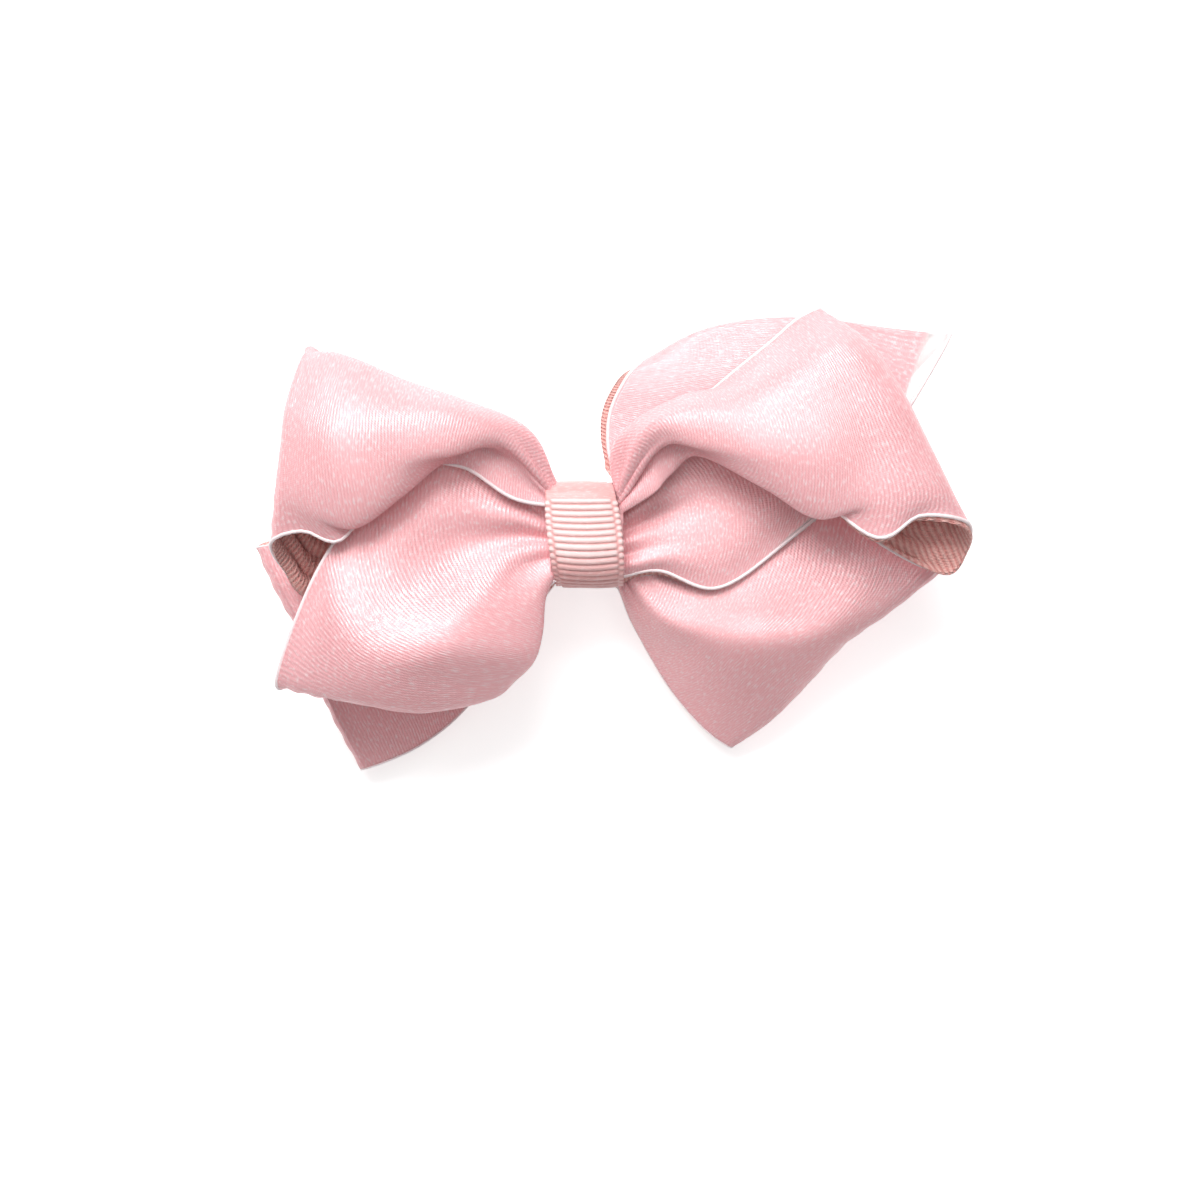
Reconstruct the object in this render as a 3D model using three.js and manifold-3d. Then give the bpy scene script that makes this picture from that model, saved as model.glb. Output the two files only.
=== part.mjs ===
// Twisted ribbon hair bow on a spring clip, lying on its back. Millimetres, +Z up, front of the bow up.
// The origin is on the flat underside of the clip's lower arm, straight below the middle of the knot.
import * as THREE from "three";
import { mergeVertices } from "three/addons/utils/BufferGeometryUtils.js";
import Module from "manifold-3d";

const wasm = await Module();
wasm.setup();

// Ribbon and bow
const bowReach = 42; // knot centre to the furthest fold, along X
const bowRise = 26; // knot centre to the highest corner, along Y
const shimmerThickness = 0.4;
const liningThickness = 0.5;
const fitGap = 0.3; // clear distance between pieces that touch
const liftOverKnot = 5.5; // how far the front legs puff up above their roots
const clearOfTable = 0.25;
const foldReach = 3; // how far a fold rounds out past its own line

// Knot
const bandWidth = 9.5;
const bandThickness = 0.6;
const knotHeight = 13; // along Y
const threadThickness = 0.5;
const threadTurns = 3;
const bandRound = 2.2; // outer corner radius of the band, seen along X
const coreRound = 1.6;
const coreMargin = 0.4; // how far the core stands out past the legs' edges, along Y
const coreSetBack = 1.2; // the core ends this far inside the band's edge, along X
const waistSlope = 0.5; // length of the slope into the core's waist
const waistClearance = 0.1;

// How the legs leave the knot
const puffReach = bowReach * 0.45; // the legs reach their far height this far out
const clipMargin = 1; // past the clip by this much, a low leg starts to droop
const droopBeside = 10;
const droopBeyond = 12;

// Clip
const clipWidth = 8;
const clipNose = 22;
const clipTail = -24;
const armThickness = 0.8;
const pinRadius = 0.6;
const pinX = -10;
const pinClearance = 0.05;
const jawHeight = 4; // underside of the upper arm above the underside of the lower arm
const jawTipLength = 6; // the upper jaw bends down to the lower one over this length
const leverAngle = 9; // degrees
const earThickness = 0.6;
const wireThickness = 0.4;
const springTurns = 6;
const turnPitch = wireThickness * 1.25;
const springLegLength = 8;
const glueThickness = 0.8;
const clipRibbonThickness = 0.5;
const clipRibbonInset = 1; // short of the jaw's straight part at each end
const glueInset = 0.5;

// Levels, from the table up
const legThickness = shimmerThickness + fitGap + liningThickness;
const levelPitch = legThickness + fitGap;
const legCount = 6;
const clipRibbonZ = jawHeight + armThickness + fitGap;
const glueZ = clipRibbonZ + clipRibbonThickness + fitGap;
const bandBottomZ = glueZ + glueThickness + fitGap;
const coreBottomZ = bandBottomZ + bandThickness + fitGap;
const coreHeight = legCount * levelPitch + fitGap;
const coreTopZ = coreBottomZ + coreHeight;
const coreHalfX = bandWidth / 2 - coreSetBack;
const rootX = coreHalfX + fitGap;
const throatX = bandWidth / 2 + fitGap; // the legs spread only outside the band
const coreHalfY = knotHeight / 2 - bandThickness - fitGap;
const rootHalfY = coreHalfY - coreMargin;

const rootHeight = (level) => coreBottomZ + fitGap + levelPitch / 2 + level * levelPitch;

const smooth = (value, from, to) => THREE.MathUtils.smoothstep(value, from, to);

// Height of a leg far from the knot: the low legs droop to the table, the high ones puff up.
const middleShift = 0.2; // the level that neither droops nor puffs is this much above the middle
function farHeight(level) {
  const lowest = clearOfTable + shimmerThickness + liningThickness + fitGap;
  const middle = (legCount - 1) / 2 + middleShift;
  if (level < middle) {
    const share = level / middle;
    return lowest + (rootHeight(middle) - lowest) * share;
  }
  return rootHeight(level) + (liftOverKnot * (level - middle)) / (legCount - 1 - middle);
}

// Height of a leg over a place in the plan: flat over the clip, then towards its far height.
function legHeight(level, x, y) {
  const outwards = Math.abs(x) - throatX;
  const away = smooth(outwards, 0, puffReach);
  const clipSide = clipWidth / 2 + clipMargin;
  const besideClip = smooth(Math.abs(y), clipSide, clipSide + droopBeside);
  const clipEnd = (x < 0 ? -clipTail : clipNose) + clipMargin;
  const pastClip = smooth(Math.abs(x), clipEnd, clipEnd + droopBeyond);
  const root = rootHeight(level);
  const far = farHeight(level);
  const overClip = (1 - besideClip) * (1 - pastClip);
  return root + (far - root) * away * (far < root ? 1 - overClip : 1);
}

// A loop leaves the knot, runs out to its fold and comes back at a lower level.
// Places are shares of bowReach along X and of bowRise along Y; edges bend through their middle places.
const loops = [
  {
    name: "upper_left", front: 5, back: 2, side: -1,
    upperBend: [-0.36, 0.62], upperCorner: [-0.79, 0.91],
    lowerBend: [-0.5, 0.1], lowerCorner: [-0.86, -0.03],
  },
  {
    name: "lower_left", front: 4, back: 3, side: -1,
    upperBend: [-0.5, 0.02], upperCorner: [-0.86, -0.6],
    lowerBend: [-0.2, -0.42], lowerCorner: [-0.28, -0.72],
  },
  {
    name: "back_left", front: 1, back: 0, side: -1,
    upperBend: [-0.5, 0.1], upperCorner: [-0.93, -0.08],
    lowerBend: [-0.3, -0.62], lowerCorner: [-0.68, -1.07],
  },
  {
    name: "upper_right", front: 5, back: 4, side: 1,
    upperBend: [0.34, 0.66], upperCorner: [0.68, 1.0],
    lowerBend: [0.5, 0.1], lowerCorner: [1.04, -0.05],
  },
  {
    name: "back_right", front: 3, back: 2, side: 1,
    upperBend: [0.12, 0.5], upperCorner: [0.24, 0.8],
    lowerBend: [0.56, 0.08], lowerCorner: [1.02, 0.86],
  },
  {
    name: "lower_right", front: 1, back: 0, side: 1,
    upperBend: [0.55, -0.05], upperCorner: [1.0, -0.24],
    lowerBend: [0.22, -0.52], lowerCorner: [0.46, -0.97],
  },
];

// The pin sits halfway between the arms, inside both pairs of ears.
const pinZ = (armThickness + jawHeight) / 2;
const earRadius = (jawHeight - armThickness) / 2 - fitGap;
const earOverlap = 0.2; // how far the ears run into their arm, to be joined to it

const legSteps = 8;
const foldSteps = 6;
const acrossSteps = 6;

// One edge of a leg, as a plan curve from the knot to the fold's corner.
function edgeCurve(loop, rootY, bend, corner) {
  return new THREE.QuadraticBezierCurve(
    new THREE.Vector2(loop.side * throatX, rootY),
    new THREE.Vector2(bend[0] * bowReach, bend[1] * bowRise),
    new THREE.Vector2(corner[0] * bowReach, corner[1] * bowRise),
  );
}

// Rows of points from the front root over the fold to the back root, each row across the ribbon.
function loopRows(loop) {
  const upper = edgeCurve(loop, rootHalfY, loop.upperBend, loop.upperCorner);
  const lower = edgeCurve(loop, -rootHalfY, loop.lowerBend, loop.lowerCorner);
  const cornerLine = lower.v2.clone().sub(upper.v2);
  const outwards = new THREE.Vector2(cornerLine.y, -cornerLine.x).normalize();
  if (outwards.dot(upper.v2.clone().add(lower.v2)) < 0) outwards.negate();
  const place = (along, across, level, past) => {
    const at = upper.getPoint(along).lerp(lower.getPoint(along), across);
    const z = legHeight(level, at.x, at.y);
    at.addScaledVector(outwards, past);
    return new THREE.Vector3(at.x, at.y, z);
  };
  const rows = [];
  const row = (point) => {
    const line = [];
    for (let i = 0; i <= acrossSteps; i++) line.push(point(i / acrossSteps));
    rows.push(line);
  };
  const root = (v, level) => {
    const y = THREE.MathUtils.lerp(rootHalfY, -rootHalfY, v);
    return new THREE.Vector3(loop.side * rootX, y, rootHeight(level));
  };
  row((v) => root(v, loop.front));
  for (let i = 0; i <= legSteps; i++) row((v) => place(i / legSteps, v, loop.front, 0));
  for (let i = 1; i < foldSteps; i++) {
    const turn = (Math.PI * i) / foldSteps;
    row((v) => {
      const high = place(1, v, loop.front, foldReach * Math.sin(turn));
      const low = place(1, v, loop.back, foldReach * Math.sin(turn));
      return low.lerp(high, (1 + Math.cos(turn)) / 2);
    });
  }
  for (let i = legSteps; i >= 0; i--) row((v) => place(i / legSteps, v, loop.back, 0));
  row((v) => root(v, loop.back));
  return rows;
}

// The direction that points out of the loop at each point of its rows.
function rowNormals(rows, side) {
  return rows.map((line, i) =>
    line.map((point, j) => {
      const before = rows[Math.max(i - 1, 0)][j];
      const after = rows[Math.min(i + 1, rows.length - 1)][j];
      const left = line[Math.max(j - 1, 0)];
      const right = line[Math.min(j + 1, line.length - 1)];
      const along = after.clone().sub(before);
      const across = right.clone().sub(left);
      return across.cross(along).multiplyScalar(side).normalize();
    }),
  );
}

// A ribbon between two distances from the rows, closed at its ends and edges.
function ribbonGeometry(rows, normals, from, to, side) {
  const count = rows.length;
  const width = rows[0].length;
  const positions = [];
  for (const distance of [from, to]) {
    rows.forEach((line, i) =>
      line.forEach((point, j) => {
        const p = point.clone().addScaledVector(normals[i][j], distance);
        if (i === 0 || i === count - 1) p.x = point.x;
        positions.push(p.x, p.y, p.z);
      }),
    );
  }
  const id = (layer, i, j) => layer * count * width + i * width + j;
  const faces = [];
  const quad = (a, b, c, d) => (side > 0 ? faces.push(a, b, c, a, c, d) : faces.push(a, c, b, a, d, c));
  for (let i = 0; i < count - 1; i++) {
    for (let j = 0; j < width - 1; j++) {
      quad(id(1, i, j), id(1, i, j + 1), id(1, i + 1, j + 1), id(1, i + 1, j));
      quad(id(0, i, j), id(0, i + 1, j), id(0, i + 1, j + 1), id(0, i, j + 1));
    }
    quad(id(1, i, 0), id(1, i + 1, 0), id(0, i + 1, 0), id(0, i, 0));
    const last = width - 1;
    quad(id(1, i, last), id(0, i, last), id(0, i + 1, last), id(1, i + 1, last));
  }
  for (let j = 0; j < width - 1; j++) {
    const end = count - 1;
    quad(id(1, 0, j), id(0, 0, j), id(0, 0, j + 1), id(1, 0, j + 1));
    quad(id(1, end, j), id(1, end, j + 1), id(0, end, j + 1), id(0, end, j));
  }
  const geometry = new THREE.BufferGeometry();
  geometry.setAttribute("position", new THREE.Float32BufferAttribute(positions, 3));
  geometry.setIndex(faces);
  return geometry;
}

// A flat outline pushed along Y, centred on y = 0, for pieces that are drawn from the side.
function sideExtrude(shape, width) {
  const options = { depth: width, bevelEnabled: false, curveSegments: 10 };
  const geometry = new THREE.ExtrudeGeometry(shape, options);
  geometry.rotateX(Math.PI / 2);
  geometry.translate(0, width / 2, 0);
  return geometry;
}

// A rounded rectangle in the YZ plane of the knot, pushed along X.
function knotOutline(halfY, lowZ, highZ, radius) {
  const shape = new THREE.Shape();
  shape.moveTo(-halfY + radius, lowZ);
  shape.lineTo(halfY - radius, lowZ);
  shape.absarc(halfY - radius, lowZ + radius, radius, -Math.PI / 2, 0);
  shape.lineTo(halfY, highZ - radius);
  shape.absarc(halfY - radius, highZ - radius, radius, 0, Math.PI / 2);
  shape.lineTo(-halfY + radius, highZ);
  shape.absarc(-halfY + radius, highZ - radius, radius, Math.PI / 2, Math.PI);
  shape.lineTo(-halfY, lowZ + radius);
  shape.absarc(-halfY + radius, lowZ + radius, radius, Math.PI, 1.5 * Math.PI);
  return shape;
}

function knotExtrude(shape, halfX) {
  const options = { depth: 2 * halfX, bevelEnabled: false, curveSegments: 6 };
  const geometry = new THREE.ExtrudeGeometry(shape, options);
  geometry.translate(0, 0, -halfX);
  return geometry.applyMatrix4(
    new THREE.Matrix4().set(0, 0, 1, 0, 1, 0, 0, 0, 0, 1, 0, 0, 0, 0, 0, 1),
  );
}

// The pinched middle of all the legs, with a waist where the thread is tied.
const waistDepth = threadThickness + fitGap + waistClearance;
const waistHalfX = (threadTurns * threadThickness) / 2 + fitGap;

function coreGeometry() {
  const middle = (coreBottomZ + coreTopZ) / 2;
  const sections = [
    [-coreHalfX, 0], [-waistHalfX - waistSlope, 0], [-waistHalfX, waistDepth],
    [waistHalfX, waistDepth], [waistHalfX + waistSlope, 0], [coreHalfX, 0],
  ];
  const outline = knotOutline(coreHalfY, coreBottomZ, coreTopZ, coreRound).getPoints(6).slice(0, -1);
  const positions = [];
  for (const [x, inset] of sections) {
    for (const p of outline) {
      const y = p.x * (1 - inset / coreHalfY);
      const z = middle + (p.y - middle) * (1 - (2 * inset) / coreHeight);
      positions.push(x, y, z);
    }
  }
  const n = outline.length;
  const faces = [];
  for (let i = 0; i < sections.length - 1; i++) {
    for (let j = 0; j < n; j++) {
      const k = (j + 1) % n;
      faces.push(i * n + j, i * n + k, (i + 1) * n + k, i * n + j, (i + 1) * n + k, (i + 1) * n + j);
    }
  }
  const last = (sections.length - 1) * n;
  for (let j = 1; j < n - 1; j++) {
    faces.push(0, j + 1, j, last, last + j, last + j + 1);
  }
  const geometry = new THREE.BufferGeometry();
  geometry.setAttribute("position", new THREE.Float32BufferAttribute(positions, 3));
  geometry.setIndex(faces);
  return geometry;
}

const sharpestRound = 0.2;

function ringGeometry(halfY, lowZ, highZ, radius, thickness, halfX) {
  const shape = knotOutline(halfY, lowZ, highZ, radius);
  const inner = Math.max(radius - thickness, sharpestRound);
  shape.holes.push(knotOutline(halfY - thickness, lowZ + thickness, highZ - thickness, inner));
  return knotExtrude(shape, halfX);
}

// The lower arm's side view is a plain strip; the upper one's bends down at the nose and up behind the pin.
function armShape(lowZ, leverDegrees, tipDrop) {
  const rise = Math.tan(THREE.MathUtils.degToRad(leverDegrees)) * (pinX - clipTail);
  const bend = clipNose - jawTipLength;
  const under = [[clipTail, lowZ + rise], [pinX, lowZ], [bend, lowZ], [clipNose, lowZ - tipDrop]];
  const shape = new THREE.Shape();
  shape.moveTo(...under[0]);
  under.slice(1).forEach((corner) => shape.lineTo(...corner));
  under.reverse().forEach(([x, z]) => shape.lineTo(x, z + armThickness));
  shape.closePath();
  return shape;
}

// Two round ears with a hole for the pin, standing on one arm and reaching towards the other.
function earGeometries(outerY, rootZ) {
  const shape = new THREE.Shape();
  const below = rootZ < pinZ;
  shape.moveTo(pinX + earRadius, rootZ);
  shape.lineTo(pinX + earRadius, pinZ);
  shape.absarc(pinX, pinZ, earRadius, 0, below ? Math.PI : -Math.PI, !below);
  shape.lineTo(pinX - earRadius, rootZ);
  shape.closePath();
  const hole = new THREE.Path();
  hole.absarc(pinX, pinZ, pinRadius + pinClearance, 0, 2 * Math.PI);
  shape.holes.push(hole);
  const shift = outerY - earThickness / 2;
  return [-shift, shift].map((y) => sideExtrude(shape, earThickness).translate(0, y, 0));
}

// The spring's wire: a leg along the lower arm, turns around the pin, and a leg along the upper lever.
function springPath() {
  const radius = pinRadius + fitGap / 2 + wireThickness;
  const stepsPerTurn = 10;
  const startY = (-springTurns * turnPitch) / 2;
  const points = [new THREE.Vector3(pinX - springLegLength, startY, pinZ - radius)];
  points.push(new THREE.Vector3(pinX - springLegLength / 2, startY, pinZ - radius));
  const sweep = springTurns * 2 * Math.PI + Math.PI;
  const count = Math.round((springTurns + 0.5) * stepsPerTurn);
  for (let i = 0; i <= count; i++) {
    const turn = (sweep * i) / count;
    points.push(
      new THREE.Vector3(
        pinX + radius * Math.sin(turn),
        startY + (springTurns * turnPitch * i) / count,
        pinZ - radius * Math.cos(turn),
      ),
    );
  }
  points.push(new THREE.Vector3(pinX - springLegLength / 2, -startY, pinZ + radius));
  points.push(new THREE.Vector3(pinX - springLegLength, -startY, pinZ + radius));
  return points;
}

// A round wire with mitred joints along a list of points.
function wireGeometry(points, thickness, sides) {
  const circle = new THREE.Shape();
  circle.absarc(0, 0, thickness / 2, 0, 2 * Math.PI);
  const path = new THREE.CatmullRomCurve3(points, false, "centripetal");
  return new THREE.ExtrudeGeometry(circle, {
    steps: points.length * 2,
    curveSegments: sides / 4,
    extrudePath: path,
    bevelEnabled: false,
  });
}

// A solid for the boolean joins and cuts.
function solid(geometry) {
  const bare = geometry.clone();
  bare.deleteAttribute("normal");
  bare.deleteAttribute("uv");
  const merged = mergeVertices(bare, 1e-4);
  return new wasm.Manifold(
    new wasm.Mesh({
      numProp: 3,
      vertProperties: merged.attributes.position.array,
      triVerts: new Uint32Array(merged.index.array),
    }),
  );
}

function geometryOf(made) {
  const mesh = made.getMesh();
  const geometry = new THREE.BufferGeometry();
  geometry.setAttribute("position", new THREE.BufferAttribute(mesh.vertProperties, 3));
  geometry.setIndex(new THREE.BufferAttribute(mesh.triVerts, 1));
  return geometry;
}

const joined = (...geometries) => geometryOf(geometries.map(solid).reduce((all, next) => all.add(next)));

const material = (color, roughness, metalness = 0) =>
  new THREE.MeshStandardMaterial({ color, roughness, metalness });
const shimmer = () => material(0xeeb8bd, 0.4);
const grosgrain = () => material(0xf0a59b, 0.75);
const steel = () => material(0xc4c6ca, 0.3, 1);

const bow = new THREE.Group();
function add(name, geometry, itsMaterial) {
  const mesh = new THREE.Mesh(geometry, itsMaterial);
  mesh.name = name;
  bow.add(mesh);
}

for (const loop of loops) {
  const rows = loopRows(loop);
  const normals = rowNormals(rows, loop.side);
  const seam = fitGap / 2;
  add(
    `shimmer_loop_${loop.name}`,
    ribbonGeometry(rows, normals, seam, seam + shimmerThickness, loop.side),
    shimmer(),
  );
  add(
    `lining_loop_${loop.name}`,
    ribbonGeometry(rows, normals, -seam - liningThickness, -seam, loop.side),
    grosgrain(),
  );
}

add("gathered_core", coreGeometry(), shimmer());
const threadStand = threadThickness + fitGap - waistDepth; // the thread's outside, past the core's
add(
  "binding_thread",
  ringGeometry(
    coreHalfY + threadStand,
    coreBottomZ - threadStand,
    coreTopZ + threadStand,
    coreRound,
    threadThickness,
    (threadTurns * threadThickness) / 2,
  ),
  material(0xf4ece8, 0.6),
);
add(
  "knot_band",
  ringGeometry(
    coreHalfY + fitGap + bandThickness,
    bandBottomZ,
    coreTopZ + fitGap + bandThickness,
    bandRound,
    bandThickness,
    bandWidth / 2,
  ),
  grosgrain(),
);

// Clip: two steel arms with ears, a pin, a torsion spring, and a ribbon and glue under the knot.
const upperEarY = clipWidth / 2;
const lowerEarY = upperEarY - earThickness - fitGap;
add(
  "clip_lower_arm",
  joined(
    sideExtrude(armShape(0, 0, 0), clipWidth),
    ...earGeometries(lowerEarY, armThickness - earOverlap),
  ),
  steel(),
);
add(
  "clip_upper_arm",
  joined(
    sideExtrude(armShape(jawHeight, leverAngle, jawHeight - armThickness - fitGap), clipWidth),
    ...earGeometries(upperEarY, jawHeight + earOverlap),
  ),
  steel(),
);
const pinLength = clipWidth + 2 * fitGap;
add(
  "clip_pin",
  new THREE.CylinderGeometry(pinRadius, pinRadius, pinLength, 20).translate(pinX, 0, pinZ),
  steel(),
);
add("clip_spring", wireGeometry(springPath(), wireThickness, 8), steel());

const jawLength = clipNose - jawTipLength - pinX;
const jawMiddle = (clipNose - jawTipLength + pinX) / 2;
add(
  "clip_ribbon",
  new THREE.BoxGeometry(jawLength - 2 * clipRibbonInset, clipWidth, clipRibbonThickness)
    .translate(jawMiddle, 0, clipRibbonZ + clipRibbonThickness / 2),
  grosgrain(),
);
add(
  "glue_pad",
  new THREE.BoxGeometry(bandWidth - 2 * glueInset, clipWidth - 2 * glueInset, glueThickness)
    .translate(0, 0, glueZ + glueThickness / 2),
  material(0xe9e2d2, 0.35),
);

export default bow;
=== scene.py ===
"""Looks of a twisted ribbon hair bow on a spring clip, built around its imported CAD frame."""
import math

import bmesh
import bpy
import numpy as np
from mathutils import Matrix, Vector, noise


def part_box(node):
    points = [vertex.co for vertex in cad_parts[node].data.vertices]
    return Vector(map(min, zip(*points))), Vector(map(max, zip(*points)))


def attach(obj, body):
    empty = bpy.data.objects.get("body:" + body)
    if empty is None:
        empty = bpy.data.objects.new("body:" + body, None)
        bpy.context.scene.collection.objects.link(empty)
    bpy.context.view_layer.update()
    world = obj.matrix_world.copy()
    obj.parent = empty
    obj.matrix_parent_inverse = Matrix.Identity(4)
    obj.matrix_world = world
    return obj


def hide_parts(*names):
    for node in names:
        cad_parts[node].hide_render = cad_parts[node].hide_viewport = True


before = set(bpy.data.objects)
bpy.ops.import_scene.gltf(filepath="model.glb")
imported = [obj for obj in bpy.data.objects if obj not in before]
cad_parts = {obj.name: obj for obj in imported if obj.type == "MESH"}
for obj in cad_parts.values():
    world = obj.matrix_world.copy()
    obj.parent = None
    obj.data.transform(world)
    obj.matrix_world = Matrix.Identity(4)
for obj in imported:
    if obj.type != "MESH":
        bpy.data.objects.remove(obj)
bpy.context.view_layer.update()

MM = 0.001
FULL_TURN = 2 * math.pi

# Ribbons and cords, in millimetres
RIBBON_WIDTH = 38.0
SHIMMER_THICKNESS = 0.22
LINING_THICKNESS = 0.35
LAYER_GAP = 0.12               # between the two ribbons of a loop
SELVAGE_RADIUS = 0.25
HIDDEN_SELVAGE_RADIUS = 0.15
RIB_PITCH = 0.8                # ribs of the wide grosgrain
WEFT_PITCH = 0.42              # weft threads of the shimmer ribbon
WARP_PITCH = 0.37
PATCH_SIZE = 6.0               # watered patches of the weave
WANDER_SCALE = 0.16            # per millimetre, of the noise that makes threads stray
WANDER = 0.8                   # how far they stray
DASHES_ALONG = 5.0             # glints per millimetre, along the ribbon
DASHES_ACROSS = 1.1
DASH_RANGE = (0.5, 0.75)       # noise at which a glint starts and is full
WARP_RELIEF = 0.2
WEFT_RELIEF = 0.6
DASH_RELIEF = 1.1

# Grid of a loop's ribbon
ACROSS_CELLS = 80
CELL_LENGTH = 0.7
FINE_STEPS = 400               # for measuring along a net

# Gathers of a loop
FRONT_PLEATS = 4
BACK_PLEATS = 10
MOST_FULLNESS = 6.0            # cut width over gathered width, at the most
PLEAT_SLOPE = 1.45             # steepness of a pleat for its fullness
STEEPEST_FRONT = 1.7
STEEPEST_BACK = 9.0
FRONT_PLEAT_RISE = 2.0         # the front pleats deepen over this length from the knot
FRONT_PLEAT_REACH = 3.5        # and fade out at this rate beyond it
BACK_PLEAT_RISE = 9.0          # the back pleats deepen over this length from the fold
PLEAT_SHIFT = 0.13             # of a pleat, from one loop to the next
LUMP_HEIGHT = 0.28             # slow unevenness of handled cloth
LUMPS_ALONG = 0.10
LUMPS_ACROSS = 2.6
LUMP_SHIFT = 7.3               # from one loop to the next
LUMP_FADE = 8.0                # calm beside the knot

# The knot band and the clip's ribbon
BAND_WIDTH = 9.5
BAND_THICKNESS = 0.4
BAND_RIB_PITCH = 0.82
STEPS_PER_RIB = 6
BAND_COLUMNS = 41
BAND_INSET_Y = 0.35            # inside the CAD band, which leaves room for the ribs
BAND_INSET_Z = 0.3
BEAD_START = 0.87              # share of the half width where the beaded border starts
BORDER_GROOVE = 0.82
RIB_RISE = 0.26
BEAD_RISE = 0.16
BEAD_BULGE = 0.02              # share of the width by which a bead stands out sideways
GROOVE_RISE = 0.2              # share of a rib's height that is left in the border groove
WRAP_WIDTH = 9.3               # over the middle of the knot
WRAP_PULL = 0.9                # narrower by this much at its turns
WRAP_SHIFT = -0.3
WRAP_SLANT = -0.11             # shift along X for each millimetre of Y
WRAP_CORNERS = (2.2, 5.2, 2.4, 2.4)
PRESSED_Y = 2.0                # the ribs are pressed flat this near to the upper front corner
PRESSED_Z = 2.6
PRESSED_RISE = 0.12
WRAP_DOME = 0.45
RIB_BOW = 0.35                 # the ends of a rib lie this much higher than its middle
WRAP_UNEVENNESS = 0.12
CLIP_RIBBON_COLUMNS = 21
CLIP_RIBBON_THICKNESS = 0.16

# Colours
SHIMMER_DEEP = (0.84, 0.38, 0.40)
SHIMMER_BRIGHT = (0.92, 0.46, 0.48)
SHIMMER_WATERED = (0.95, 0.56, 0.60)
SHIMMER_GLINT = (1.0, 0.88, 0.89)
SHEER_WHITE = (0.95, 0.90, 0.90)
SHEEN_PINK = (1.0, 0.85, 0.86, 1)
# lining colours: its own salmon, painted darker in the rib grooves as shade
LINING_GROOVE = (0.80, 0.31, 0.28)
LINING_RIB = (0.97, 0.56, 0.51)
# band rib colours: the band's own salmon, with painted shade in the grooves and painted highlight on the
# ridges
BAND_GROOVE = (0.78, 0.37, 0.36)
BAND_RIB = (0.98, 0.71, 0.69)
# painted glint colour on the band
BAND_PAINTED_GLINT = (1.0, 0.93, 0.91)
CORD_SHADE = (0.86, 0.66, 0.68)
CORD_WHITE = (1.0, 0.93, 0.93)
STEEL_DARK = (0.62, 0.62, 0.63)
STEEL_BRIGHT = (0.80, 0.80, 0.82)
GLUE_DEEP = (0.70, 0.64, 0.52)
GLUE_PALE = (0.86, 0.82, 0.72)
CRUSHED_DEEP = (0.66, 0.29, 0.30)
CRUSHED_BRIGHT = (0.90, 0.52, 0.54)

# The pile of ribbon legs in the knot, from the CAD solids
PILE_LEVELS = 6.2
LOWEST_LEVEL = 0.6
CORE_CLEARANCE = 0.2


def box_mm(node_name):
    """The lowest and the highest corner of a CAD node, in millimetres."""
    low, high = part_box(node_name)
    return np.array(low) / MM, np.array(high) / MM


core_low, core_high = box_mm("gathered_core")
band_low, band_high = box_mm("knot_band")
ROOT_X = core_high[0] + CORE_CLEARANCE
LEG_PITCH = (core_high[2] - core_low[2]) / PILE_LEVELS


def root_height(level):
    """The height at which the leg of this level, counted from below, enters the knot."""
    return core_low[2] + LEG_PITCH * (level + LOWEST_LEVEL)


# ---------------------------------------------------------------- ribbon nets
# Each row goes across the ribbon, from one selvage to the other, in millimetres.
# The rows follow the ribbon from its front root over the fold to its back root.
# A row of two points is straight.

def root_row(side, level, first_y, last_y):
    """The row of a net where the leg enters the knot."""
    z = root_height(level)
    return [(side * ROOT_X, first_y, z), (side * ROOT_X, last_y, z)]


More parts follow.
